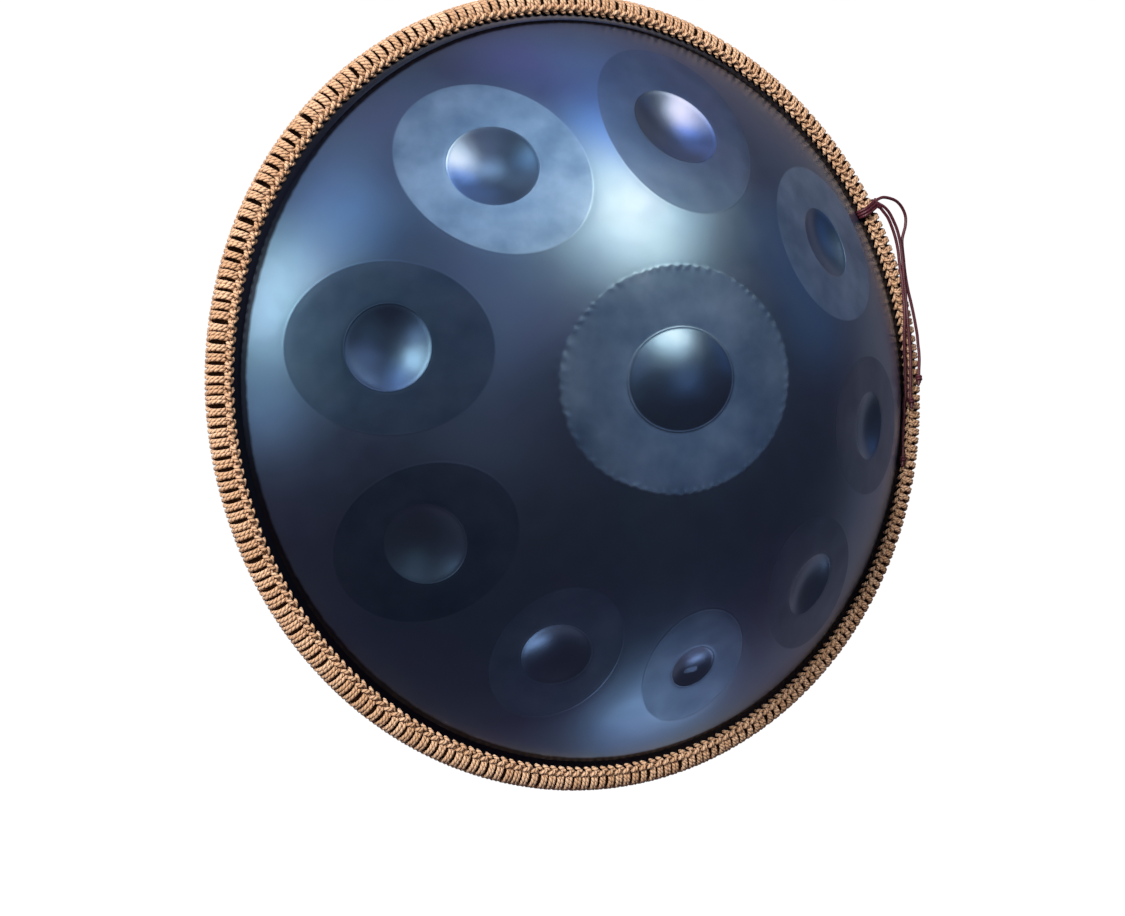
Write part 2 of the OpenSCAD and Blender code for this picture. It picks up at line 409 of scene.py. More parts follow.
def blunt(radius, ends):
    """A radius that rounds off over the given share of the length at each end."""
    def at(share):
        left = min(share, 1 - share) / ends
        return radius * math.sqrt(max(0.08, 1 - (1 - min(left, 1)) ** 2))
    return at


def stopper_knot(path):
    """About two and a half turns wound round the strand's last stretch, and the tail below them."""
    centre, ahead = path[-1], (path[-1] - path[-6]).normalized()
    side = ahead.orthogonal().normalized()
    over = ahead.cross(side)
    turns, steps = 2.4, 44
    coil = []
    for step in range(steps + 1):
        share = step / steps
        angle = math.tau * turns * share
        reach = 1.75 * MM * math.sin(math.pi * (0.12 + 0.76 * share)) ** 0.5
        along = (share - 0.5) * 4.6 * MM + 0.5 * MM * math.sin(angle)
        coil.append(centre + along * ahead + reach * (math.cos(angle) * side + math.sin(angle) * over))
    tail = [centre - 1.5 * MM * ahead, centre + 1.5 * MM * ahead, centre + 4.2 * MM * ahead,
            centre + 6.0 * MM * ahead + 0.8 * MM * side]
    return [sweep(coil, TIE_R * 0.92, 10), sweep(smooth_path(tail, 4), blunt(TIE_R, 0.1), 10)]


strands, knots, paths = {}, {}, {}
for letter, route in ROUTES.items():
    paths[letter] = smooth_path([rim_place(turn, out * MM, up * MM) for turn, out, up in route], 5)
    strands[letter] = piece_of(f"tie_strand_{letter}_cord", [sweep(paths[letter], TIE_R, 12)], WAXED)
    knots[letter] = piece_of(f"tie_knot_{letter}_cord", stopper_knot(paths[letter]), WAXED)
    print(f"strand {letter}: {path_length(paths[letter]):.4f} m from the hitch to its knot")

# %% [markdown]
# ## The hitch
# The doubled cord is wound over the trim and pinched where the strands come out. In section its
# turns follow the outline of the trim, which is two circles: the plaited chain and the stitched
# bead. A ray turned through a fan of angles finds the outer of the two at each step.

# %% Hitch over the trim
CHAIN_R = 4.2 * MM
CHAIN_X = SHELL_R + 3.5 * MM
CHAIN_Z = FLANGE_TOP + 3.8 * MM
WRAP_R = wrap_high.z - RIM_Z
WRAP_X = TRIM_R - WRAP_R
HUB = Vector((269 * MM, 2.4 * MM))


def over_trim(degrees, lift):
    """A point in the rim's section, lifted off the trim's outline, seen from the hub."""
    ray = Vector((math.cos(math.radians(degrees)), math.sin(math.radians(degrees))))
    best = 0.0
    for x, z, radius in ((CHAIN_X, CHAIN_Z, CHAIN_R + lift), (WRAP_X, 0.0, WRAP_R + lift)):
        to_hub = HUB - Vector((x, z))
        half = to_hub.dot(ray)
        inside = half * half - to_hub.length_squared + radius * radius
        if inside > 0:
            best = max(best, -half + math.sqrt(inside))
    return HUB + best * ray


def hitch_turn(offset, start, end, lift):
    steps = 26
    line = []
    for step in range(steps + 1):
        share = step / steps
        x, z = over_trim(start + (end - start) * share, lift)
        lean = 0.10 * (share - 0.4)
        line.append(rim_place(HITCH_ANGLE + offset + lean, x, z))
    return line


turns = [hitch_turn(offset, 168, -46, TIE_R + lift)
         for offset, lift in ((0.50, 0.1 * MM), (0.02, 0.3 * MM), (-0.47, 0.1 * MM))]
pinch_x, pinch_z = over_trim(30, TIE_R * 2.0)
pinch = []
for turn in range(9):
    lean, rise = math.cos(turn / 8 * math.pi), math.sin(turn / 8 * math.pi)
    pinch.append(rim_place(HITCH_ANGLE + 0.85 * lean, pinch_x + 0.3 * MM * math.sin(turn),
                           pinch_z + 1.2 * MM * rise))
hitch = piece_of("tie_hitch_cord", [sweep(line, blunt(TIE_R, 0.03), 10) for line in turns]
                 + [sweep(smooth_path(pinch, 2), blunt(TIE_R * 0.95, 0.12), 10)], WAXED)
keep(hitch, "waxed_cord", "tie_hitch")

for letter in ROUTES:
    keep(strands[letter], "waxed_cord", f"tie_strand_{letter}")
    keep(knots[letter], "waxed_cord", f"tie_knot_{letter}")

# %% [markdown]
# ## Steel that has been through the oven
# The sheet is nitrided: baked until its skin turns a dark satin blue that drifts towards violet
# and grey. Two effects make it up, and each is a small shader group, because both shells use
# them: the slow colour drift, and the fine grain of the satin skin. The metal itself stays a
# Principled shader in the material.

# %% Shared steel effects
def heat_tint():
    """Colour of the oven skin, drifting over hands' widths."""
    tree, given, result = new_group("heat_tint", "ShaderNodeTree",
                                    [("Where", VECTOR, None)],
                                    [("Colour", COLOUR)])
    slow = ripples(tree, given["Where"], 7.0, 3.0)
    other = ripples(tree, place(tree, "ShaderNodeVectorMath", (given["Where"], (0.7, 0.2, 0.4)),
                                operation="ADD"), 11.0, 3.0)
    blue = (0.135, 0.250, 0.43, 1)
    violet = (0.200, 0.225, 0.42, 1)
    grey = (0.175, 0.285, 0.42, 1)
    drift = mix_colours(tree, clamp(slow * 2.6 + 0.4), blue, violet)
    colour = mix_colours(tree, clamp(other * 2.4 + 0.35), drift, grey)
    feed(result.inputs["Colour"], colour)
    return tree


def satin_skin():
    """Fine grain: a height in 0..1 and the roughness that goes with it."""
    tree, given, result = new_group("satin_skin", "ShaderNodeTree",
                                    [("Where", VECTOR, None), ("Roughness", FLOAT, 0.34)],
                                    [("Height", FLOAT), ("Roughness", FLOAT)])
    grain = ripples(tree, given["Where"], 1400.0, 2.0)
    smear = ripples(tree, given["Where"], 60.0, 4.0)
    feed(result.inputs["Height"], grain + 0.5)
    feed(result.inputs["Roughness"], given["Roughness"] + smear * 0.10 + grain * 0.05)
    return tree


HEAT_TINT = heat_tint()
SATIN_SKIN = satin_skin()
print("shared effects:", HEAT_TINT.name, SATIN_SKIN.name)


def use_group(tree, group, values):
    """Places a shader group and returns its outputs by name."""
    node = tree.nodes.new("ShaderNodeGroup")
    node.node_tree = group
    for label, value in values.items():
        feed(node.inputs[label], value)
    return {socket.name: Wire(socket) for socket in node.outputs}


def attribute(tree, name):
    return place(tree, "ShaderNodeAttribute", out="Fac", attribute_name=name)

# %% [markdown]
# ## The steel material
# The tone fields were hammered and rubbed down more than the rest, so some of them are duller
# and some are paler, all a little cloudy, with a thin line where the field begins. Those tones are
# partly that finish and partly painted reflection: each flattened field mirrors a darker or
# brighter part of the surroundings. Beside the trim the colour turns almost black: painted shade,
# standing for the trim's shaded underside mirrored in the corner of the steel. The top shell's
# mesh carries three numbers at each point that its Geometry Nodes tree has worked out: how far out
# in its field the point is, how far out in its dimple, and that field's own tone. The lower shell
# has none of them, so its material leaves those parts out.

# %% Steel
STEEL_ROUGHNESS = 0.34
RIM_PAINTED_SHADE_WIDTH = 8 * MM
DING_ZONE = 0.1
BEADS, BEAD_DRIFT, BEAD_NOISE = 62.0, 16.0, 30.0


def ding_beads(tree, where, reach, from_axis):
    """The row of small hammer marks along the edge of the centre field."""
    place_xyz = place(tree, "ShaderNodeSeparateXYZ", {0: where})
    y = Wire(place_xyz.socket.node.outputs["Y"])
    turn = place(tree, "ShaderNodeMath", (y, place_xyz), operation="ARCTAN2")
    strikes = (turn * BEADS + ripples(tree, where, BEAD_NOISE) * BEAD_DRIFT).sine() * 0.5 + 0.5
    in_middle = 1.0 - from_axis.above(DING_ZONE)
    return bell(reach, 0.985, 0.024) * strikes * in_middle * 0.6


def nitrided_steel(name, with_fields):
    material, tree, shader = new_material(name)
    where = object_place(tree)
    tint = use_group(tree, HEAT_TINT, {"Where": where})
    skin = use_group(tree, SATIN_SKIN, {"Where": where, "Roughness": STEEL_ROUGHNESS})
    colour, rough, height = tint["Colour"], skin["Roughness"], skin["Height"] * 0.02
    flat = place(tree, "ShaderNodeVectorMath", (where, (1.0, 1.0, 0.0)), operation="MULTIPLY")
    from_axis = place(tree, "ShaderNodeVectorMath", (flat,), out="Value", operation="LENGTH")
    # Painted shade: over the last few millimetres before the rim the colour turns almost black. It
    # stands for the trim's shaded underside mirrored in the steel, and its wavy edge follows the
    # mirrored chain.
    uneven = ripples(tree, where, 120.0) * (1.2 * MM)
    painted_rim_shade = clamp((from_axis + uneven - (SHELL_R - RIM_PAINTED_SHADE_WIDTH)) / (1.5 * MM))
    if with_fields:
        reach = attribute(tree, "field_reach")
        dimple = attribute(tree, "dimple_reach")
        tone = attribute(tree, "field_tone")
        in_field = clamp((1.0 - reach) * 45.0 + 0.5)
        in_dimple = clamp((1.0 - dimple) * 25.0 + 0.5)
        field = in_field * (1.0 - in_dimple)
        mottle = clamp(ripples(tree, where, 34.0, 4.0) * 1.6 + 0.5)
        # Partly painted reflection: each field's tone makes it darker or paler. This is partly its
        # duller hammered finish and partly the darker or brighter surroundings that the flat field
        # mirrors.
        dull_with_dark_reflection = mix_colours(tree, mottle, (0.055, 0.105, 0.20, 1), (0.115, 0.165, 0.28, 1))
        pale_with_bright_reflection = mix_colours(tree, mottle, (0.25, 0.45, 0.72, 1), (0.46, 0.66, 0.92, 1))
        colour = mix_colours(tree, (field * tone).highest(0.0), colour, dull_with_dark_reflection)
        colour = mix_colours(tree, (field * tone * -1.0).highest(0.0), colour, pale_with_bright_reflection)
        colour = mix_colours(tree, field * (1.0 - mottle) * 0.5, colour, (0.035, 0.075, 0.17, 1))
        rough = rough + field * 0.07
        field_edge = bell(reach, 1.0, 0.016) * 0.25
        dimple_edge = bell(dimple, 1.02, 0.018) * 0.5
        beads = ding_beads(tree, where, reach, from_axis)
        height = height + mottle * field * 0.5 + field_edge + dimple_edge + beads
    # The near-black colour mixed in by the rim is the painted shade.
    feed(shader["Base Color"], mix_colours(tree, painted_rim_shade * 0.93, colour, (0.010, 0.008, 0.016, 1)))
    feed(shader["Roughness"], rough)
    feed(shader["Normal"], bump(tree, height, 0.2 * MM))
    feed(shader["Metallic"], 1.0)
    feed(shader["Coat Weight"], 0.10)
    feed(shader["Coat Roughness"], 0.30)
    return material


STEEL_TOP = nitrided_steel("nitrided_steel_top", True)
STEEL_LOWER = nitrided_steel("nitrided_steel_lower", False)
print("steel:", STEEL_TOP.name, STEEL_LOWER.name)

# %% [markdown]
# ## One tone field, as a rule
# A tone field is a flattened oval with a round dimple in its middle. Seen from the field's own
# centre, with x down the slope and y across it, the oval's reach is sqrt((x/a)2 + (y/b)2): 0 in
# the middle and 1 at the edge. The hammer lowers the sheet by drop * (1 - reach2) inside the
# edge, which leaves the field nearly flat across its width, and the dimple follows the same
# rule with its own radius. Nine copies of this group make the ring, so it is written once.
# The centre field is written out in the shell's own tree, because its dome stands up instead.

# %% Tone field group
def tone_field_group():
    tree, given, result = new_group(
        "tone_field", "GeometryNodeTree",
        [("Place", VECTOR, None), ("Down slope", VECTOR, None), ("Across", VECTOR, None),
         ("Half length", FLOAT, None), ("Half width", FLOAT, None), ("Dimple radius", FLOAT, None),
         ("Field drop", FLOAT, None), ("Dimple share", FLOAT, None)],
        [("Depth", FLOAT), ("Reach", FLOAT), ("Dimple reach", FLOAT)])
    x = dot(tree, given["Place"], given["Down slope"])
    y = dot(tree, given["Place"], given["Across"])
    x_share = x / given["Half length"]
    y_share = y / given["Half width"]
    reach_sq = x_share * x_share + y_share * y_share
    dimple_sq = (x * x + y * y) / (given["Dimple radius"] * given["Dimple radius"])
    field = smooth_above(given["Field drop"] * (1.0 - reach_sq), 0.30 * MM)
    dimple_depth = given["Dimple radius"] * given["Dimple share"]
    dimple = smooth_above(dimple_depth * (1.0 - dimple_sq), 0.40 * MM)
    feed(result.inputs["Depth"], field + dimple)
    feed(result.inputs["Reach"], reach_sq.root())
    feed(result.inputs["Dimple reach"], dimple_sq.root())
    return tree


TONE_FIELD = tone_field_group()

# Angle round the dome, distance from the axis, dimple radius, half length down the slope and half
# width across it (degrees and millimetres), and the field's tone: duller over 0, paler under 0.
# The places and sizes are the rounded results of a least-squares fit made by another program.
# The tones are partly a hammered finish and partly painted reflection of what each flat field mirrors.
FIELDS = [
    (121, 178, 29.5, 69, 58, -0.80),
    (74, 179, 31.5, 73, 59, 0.35),
    (27, 184, 26.5, 64, 58, -0.80),
    (-16, 190, 24.5, 58, 50, 0.15),
    (-54, 195, 23.5, 60, 46, 0.05),
    (-87, 196, 16.5, 48, 40, -0.10),
    (-119, 190, 23, 52, 42, -0.15),
    (-155, 189, 26, 61, 49, 0.55),
    (166, 184, 27, 66, 54, 0.60),
]
# The centre field's tone, paler: partly its finish, partly painted reflection.
DING_TONE = -0.60
DING = {"turn": 5, "field_long": 86, "field_short": 73, "long": 39, "short": 33, "height": 7}


def slope_axes(angle, distance):
    """Unit vectors down the slope and across it, at a spot on the dome."""
    turn, lean = math.radians(angle), math.asin(distance * MM / DOME_R)
    down = Vector((math.cos(lean) * math.cos(turn), math.cos(lean) * math.sin(turn), -math.sin(lean)))
    return down, Vector((-math.sin(turn), math.cos(turn), 0))


print(f"{len(FIELDS)} tone fields and a centre field")

# %% [markdown]
# ## The top shell
# The shell could be sculpted or cut from a ball, but its shape is a rule, so a Geometry Nodes
# tree makes it. A flat grid is wound into rings: first from the middle out over the dome and the
# flange, then back under them as the inner face of the sheet, so that the sheet is a closed
# shape of even thickness. Each point is lifted from the plain ball by what the fields say there.
# Rings lie closest together where the dimples are, because their edges bend most.

# %% Top shell tree
def top_shell_tree():
    tree, given, result = new_group(
        "top_shell", "GeometryNodeTree",
        [("Rings outside", INT, 100), ("Rings inside", INT, 30), ("Steps round", INT, 400),
         ("Shell radius", FLOAT, 0.0), ("Flange radius", FLOAT, 0.0), ("Dome radius", FLOAT, 0.0),
         ("Dome centre height", FLOAT, 0.0), ("Flange top height", FLOAT, 0.0),
         ("Sheet", FLOAT, 0.0), ("Flatness", FLOAT, 0.0), ("Dimple share", FLOAT, 0.0),
         ("Skin", MATERIAL, None)],
        [("Shell", GEOMETRY)])
    outside, inside, steps = given["Rings outside"], given["Rings inside"], given["Steps round"]
    columns = steps + 1.0
    grid = place(tree, "GeometryNodeMeshGrid",
                 {"Size X": 1.0, "Size Y": 1.0, "Vertices X": outside + inside, "Vertices Y": columns},
                 out="Mesh")
    index = place(tree, "GeometryNodeInputIndex")
    ring = ((index + 0.5) / columns).whole()
    step = index - ring * columns
    under = ring.above(outside - 0.5)
    out_share = ring / (outside - 1.0)
    back_share = 1.0 - (ring - outside) / (inside - 1.0)
    spacing = tree.nodes.new("ShaderNodeFloatCurve")
    for at, value in ((0.32, 0.31), (0.42, 0.50), (0.90, 0.84)):
        spacing.mapping.curves[0].points.new(at, value)
    for point in spacing.mapping.curves[0].points:
        point.handle_type = "VECTOR"
    feed(spacing.inputs["Value"], out_share)
    share = Wire(spacing.outputs[0]) * (1.0 - under) + back_share * under
    radius = share * given["Flange radius"]
    angle = step / steps * math.tau
    x, y = radius * angle.cosine(), radius * angle.sine()
    on_flange = radius.above(given["Shell radius"])
    inner = radius.lowest(given["Shell radius"])
    height = (given["Dome radius"] * given["Dome radius"] - inner * inner).root()
    where = vector(tree, x, y, height)

    flat_share = given["Flatness"] / (given["Dome radius"] * 2.0)
    depth, reach, dimple_reach, tone = None, None, None, None
    for field in FIELDS:
        down, across = slope_axes(field[0], field[1])
        node = tree.nodes.new("GeometryNodeGroup")
        node.node_tree = TONE_FIELD
        own = {"Place": where, "Down slope": tuple(down), "Across": tuple(across),
               "Dimple radius": field[2] * MM, "Half length": field[3] * MM,
               "Half width": field[4] * MM, "Field drop": flat_share * (field[4] * MM) ** 2,
               "Dimple share": given["Dimple share"]}
        for label, value in own.items():
            feed(node.inputs[label], value)
        own_depth, own_reach, own_dimple = (Wire(node.outputs[i]) for i in range(3))
        own_tone = (1.06 - own_reach).above(0.0) * field[5]
        depth = own_depth if depth is None else depth.highest(own_depth)
        reach = own_reach if reach is None else reach.lowest(own_reach)
        dimple_reach = own_dimple if dimple_reach is None else dimple_reach.lowest(own_dimple)
        tone = own_tone if tone is None else tone + own_tone

    turn = math.radians(DING["turn"])
    ding_x = dot(tree, where, (math.cos(turn), math.sin(turn), 0.0))
    ding_y = dot(tree, where, (-math.sin(turn), math.cos(turn), 0.0))
    round_it = place(tree, "ShaderNodeMath", (ding_y, ding_x), operation="ARCTAN2")
    lumps = ripples(tree, where, BEAD_NOISE, 2.0)
    strikes = (round_it * BEADS + lumps * BEAD_DRIFT).sine()
    plain_reach = ((ding_x / (DING["field_long"] * MM)) ** 2.0
                   + (ding_y / (DING["field_short"] * MM)) ** 2.0).root()
    ding_reach = plain_reach * (1.0 + bell(plain_reach, 1.0, 0.05) * (0.004 * strikes + 0.04 * lumps))
    dome_sq = (ding_x / (DING["long"] * MM)) ** 2.0 + (ding_y / (DING["short"] * MM)) ** 2.0
    ding_flat = flat_share * (DING["field_short"] * MM) ** 2
    ding_drop = smooth_above(ding_flat * (1.0 - ding_reach * ding_reach), 0.15 * MM)
    dome_lift = smooth_above(DING["height"] * MM * (1.0 - dome_sq), 0.25 * MM)
    groove = bell(dome_sq.root(), 1.04, 0.03) * (0.10 * MM)
    depth = depth + ding_drop + groove - dome_lift
    reach = reach.lowest(ding_reach)
    dimple_reach = dimple_reach.lowest(dome_sq.root())
    tone = tone + (1.06 - ding_reach).above(0.0) * DING_TONE

    in_field = clamp((1.0 - reach) * 12.0)
    broad = ripples(tree, where, 26.0, 1.0) * (0.10 * MM)
    close = ripples(tree, where, 40.0, 2.0) * (0.40 * MM) * in_field
    length = given["Dome radius"] - depth + broad + close - given["Sheet"] * under
    dome_scale = length / given["Dome radius"]
    dome_z = height * dome_scale + given["Dome centre height"]
    flange_z = given["Flange top height"] - given["Sheet"] * under
    spread = dome_scale * (1.0 - on_flange) + on_flange
    final = vector(tree, x * spread, y * spread, dome_z * (1.0 - on_flange) + flange_z * on_flange)

    shaped = place(tree, "GeometryNodeSetPosition", {"Geometry": grid, "Position": final})
    for label, value in (("field_reach", reach), ("dimple_reach", dimple_reach), ("field_tone", tone)):
        shaped = place(tree, "GeometryNodeStoreNamedAttribute",
                       {"Geometry": shaped, "Name": label, "Value": value}, data_type="FLOAT")
    closed = place(tree, "GeometryNodeMergeByDistance", {"Geometry": shaped, "Distance": 0.001 * MM})
    smooth = place(tree, "GeometryNodeSetShadeSmooth", {"Geometry": closed})
    real = place(tree, "GeometryNodeRealizeInstances", {"Geometry": smooth})
    feed(result.inputs["Shell"],
         place(tree, "GeometryNodeSetMaterial", {"Geometry": real, "Material": given["Skin"]}))
    return tree


FLATNESS = 0.8
DIMPLE_SHARE = 0.24
top_shell = grow("top_shell_steel", top_shell_tree(), {
    "Rings outside": 142, "Rings inside": 18, "Steps round": 600,
    "Shell radius": SHELL_R, "Flange radius": FLANGE_R, "Dome radius": DOME_R,
    "Dome centre height": DOME_Z, "Flange top height": RIM_Z + FLANGE_TOP,
    "Sheet": SHEET, "Flatness": FLATNESS, "Dimple share": DIMPLE_SHARE, "Skin": STEEL_TOP})
highest = max(point.co.z for point in top_shell.data.vertices)
print(f"centre dome at {highest:.4f} m, the packed one at {top_high.z:.4f} m")
keep(top_shell, "nitrided_steel", "top_shell")

# %% [markdown]
# ## The lower shell
# The lower shell is the same dome turned over, smooth all round, with the sound port in its
# middle. The sheet is rolled inwards there: over a round lip, which the instrument rests on,
# and up into a short straight neck. A turned shape is a profile and a lathe, so its section is
# worked out from arcs and spun by a short loop.

# %% Lower shell
PORT_R = 53 * MM
PORT_NECK = 14 * MM
LIP_R = 5 * MM


def arc(x, z, radius, start, end, steps):
    """Points on an arc in the section. Angles are in degrees, from the outward direction up."""
    turn = [math.radians(start + (end - start) * i / steps) for i in range(steps + 1)]
    return [(x + radius * math.cos(a), z + radius * math.sin(a)) for a in turn]


def lower_section():
    """The sheet's section: out along the outer face, and back along the inner one."""
    centre_z = 2 * RIM_Z - DOME_Z
    lip_x, lip_z = PORT_R + LIP_R, LIP_R
    lip_lean = math.degrees(math.atan2(lip_z - centre_z, lip_x))
    rim_lean = -math.degrees(math.acos(SHELL_R / DOME_R))
    faces = []
    for inset in (0.0, SHEET):
        neck = [(PORT_R + inset, LIP_R + PORT_NECK), (PORT_R + inset, LIP_R + PORT_NECK / 2)]
        lip = arc(lip_x, lip_z, LIP_R - inset, 180, 360 + lip_lean, 14)
        dome = arc(0.0, centre_z, DOME_R - inset, lip_lean, rim_lean, 84)[1:]
        flange_z = RIM_Z - FLANGE_TOP + inset
        flange = [(SHELL_R + 4 * MM, flange_z), (FLANGE_R, flange_z)]
        faces.append(neck + lip + dome + flange)
    return faces[0] + faces[1][::-1]


def lathe(name, section, steps, material):
    """Spins a closed section about the upright axis."""
    points, faces = [], []
    count = len(section)
    for step in range(steps):
        angle = math.tau * step / steps
        for x, z in section:
            points.append((x * math.cos(angle), x * math.sin(angle), z))
    for step in range(steps):
        here, there = step * count, (step + 1) % steps * count
        for i in range(count):
            nxt = (i + 1) % count
            faces.append((here + i, here + nxt, there + nxt, there + i))
    mesh = bpy.data.meshes.new(name)
    mesh.from_pydata(points, [], faces)
    mesh.shade_smooth()
    mesh.materials.append(material)
    return add_object(name, mesh)


bottom_shell = lathe("bottom_shell_steel", lower_section(), 360, STEEL_LOWER)
for point in bottom_shell.data.vertices:
    from_axis = math.hypot(point.co.x, point.co.y)
    if LIP_R + PORT_R + 8 * MM < from_axis < SHELL_R - 6 * MM:
        swell = noise.noise(point.co * 24) * 0.12 * MM
        point.co += Vector((point.co.x, point.co.y, point.co.z - 2 * RIM_Z + DOME_Z)) / DOME_R * swell
keep(bottom_shell, "nitrided_steel", "bottom_shell")

# %% [markdown]
# ## Glue between the flanges
# The two flanges are bonded with a grey structural adhesive. It hardly shows behind the trim, so
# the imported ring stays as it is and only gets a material: slightly lumpy and matt.

# %% Rim glue
def rim_glue():
    material, tree, shader = new_material("rim_glue")
    where = object_place(tree)
    lumps = ripples(tree, where, 350.0, 3.0) + 0.5
    grey = mix_colours(tree, lumps, (0.030, 0.029, 0.027, 1), (0.060, 0.057, 0.052, 1))
    feed(shader["Base Color"], grey)
    feed(shader["Roughness"], 0.65 + 0.2 * lumps)
    feed(shader["Normal"], bump(tree, lumps, 0.15 * MM))
    return material


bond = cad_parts["rim_bond"]
bond.data.materials.clear()
bond.data.materials.append(rim_glue())
print("material on the packed ring:", bond.data.materials[0].name)

# %% [markdown]
# ## Jute
# The trim is a jute cord of two plies twisted together, pale tan, with painted shade of dark orange
# brown in the grooves between them, and slightly hairy. The plies run as slanted ridges on the UV map.
# Each stitch also carries its own tone, because no two bights catch the light or the dirt alike.

# %% Jute material
PLIES = 2.0
TWIST_PITCH = 5.5 * MM


def twisted_plies():
    """Ridges of a two-ply twist: a height in 0..1, and a mask of the grooves, where shade is painted.
    """
    tree, given, result = new_group(
        "twisted_plies", "ShaderNodeTree",
        [("Around", FLOAT, 0.0), ("Along", FLOAT, 0.0), ("Pitch", FLOAT, 0.006)],
        [("Height", FLOAT), ("Groove", FLOAT)])
    wave = ((given["Around"] * PLIES + given["Along"] * PLIES / given["Pitch"]) * math.pi).sine()
    ridge = (wave * wave).root()
    feed(result.inputs["Height"], ridge ** 0.7)
    feed(result.inputs["Groove"], (1.0 - ridge) ** 3.0)
    return tree


TWISTED_PLIES = twisted_plies()


def jute():
    material, tree, shader = new_material("jute_cord")
    where = object_place(tree)
    around, along = uv_parts(tree)
    plies = use_group(tree, TWISTED_PLIES, {"Around": around, "Along": along, "Pitch": TWIST_PITCH})
    tone = attribute(tree, "stitch_tone")
    fibres = ripples(tree, vector(tree, around * 9.0, along * 260.0, tone * 20.0), 1.0, 3.0) + 0.5
    blotch = ripples(tree, where, 90.0, 2.0) + 0.5
    pale = mix_colours(tree, fibres * 0.6 + blotch * 0.4, (0.70, 0.42, 0.24, 1), (0.97, 0.72, 0.50, 1))
    toned = mix_colours(tree, tone * 0.6, pale, (0.52, 0.28, 0.13, 1))
    # Painted shade: the grooves between the plies are darkened towards a dark brown.
    groove_shaded = mix_colours(tree, plies["Groove"] * 0.9, toned, (0.20, 0.060, 0.018, 1))
    feed(shader["Base Color"], groove_shaded)
    feed(shader["Roughness"], 0.75 + 0.2 * fibres)
    feed(shader["Normal"], bump(tree, plies["Height"] + fibres * 0.35, 0.7 * MM))
    feed(shader["Sheen Weight"], 0.25)
    feed(shader["Sheen Roughness"], 0.5)
    return material


JUTE = jute()
print("material:", JUTE.name)

# %% [markdown]
# ## Stitches round the rim
# A crochet stitch over the edge is two legs of cord side by side: they come out from under the
# plaited chain, draw together on top and spread apart again where they bend over the edge, so
# dark lens-shaped gaps open between one stitch and the next. Below the edge each leg belongs to
# the next stitch, so the lower stitches sit half a step round. A few slightly different stitches
# are swept as templates, each with only a few dozen faces to a leg, and a Geometry Nodes
# tree sets one at every place round the rim.

# %% Stitch templates
STITCHES = 260
CORD_R = 1.42 * MM
STITCH_STEP = math.tau * (TRIM_R - CORD_R) / STITCHES
LEG_TURN, TUCK = 142, 4
templates = []


def template(collection_name, name, parts):
    """Keeps a template out of the scene, in a collection that only the tree reads."""
    store = bpy.data.collections.get(collection_name) or bpy.data.collections.new(collection_name)
    made = piece_of(name, parts)
    bpy.context.scene.collection.objects.unlink(made)
    store.objects.link(made)
    templates.append(made)


def leg(side, sway, tight, upper, rng):
    """Half a stitch leg, from the chain round to just past the outermost point."""
    bead = WRAP_R - CORD_R
    line = []
    for step in range(8):
        share = step / 7
        angle = math.radians(LEG_TURN * (1 - share) - (TUCK if step == 7 else 0))
        pulled = math.sin(math.pi * share ** 0.9) ** 0.8
        spread = STITCH_STEP / 4 - tight * pulled * MM
        wobble = sway * pulled * MM
        x = WRAP_X + bead * math.cos(angle)
        z = bead * math.sin(angle) * (1 if upper else -1)
        line.append(Vector((x, side * spread + wobble, z)))
    return sweep(line, lambda share: CORD_R * (0.92 + 0.16 * rng.random()), 8, rng.random() * 0.02)


rng = random.Random(7)
for number in range(6):
    for half, upper in (("upper", True), ("lower", False)):
        sway, tight = (number - 2.5) * 0.18, 0.45 + 0.5 * rng.random()
        legs = [leg(-1, sway, tight, upper, rng), leg(1, sway, tight, upper, rng)]
        template(f"stitch_{half}", f"stitch_{half}_{number}", legs)
print(f"{STITCHES} stitches, one every {math.tau * WRAP_X / STITCHES / MM:.2f} mm")

# %% [markdown]
# ## The tree that sets them out
# The tree makes a circle of points, turns each template to face outwards, picks one of them at
# random with a fixed seed, and writes the stitch's own tone on the instance before it becomes
# real geometry. The same tree sets out the stitches and both plaited chains.

# %% Rim tree
def random_number(tree, lowest, highest, seed):
    """A random number for each point, with its own fixed seed."""
    node = tree.nodes.new("FunctionNodeRandomValue")
    node.data_type = "FLOAT"
    sockets = {socket.name: socket for socket in node.inputs if socket.enabled}
    for label, value in (("Min", lowest), ("Max", highest), ("Seed", seed)):
        feed(sockets[label], value)
    return Wire(next(socket for socket in node.outputs if socket.enabled))


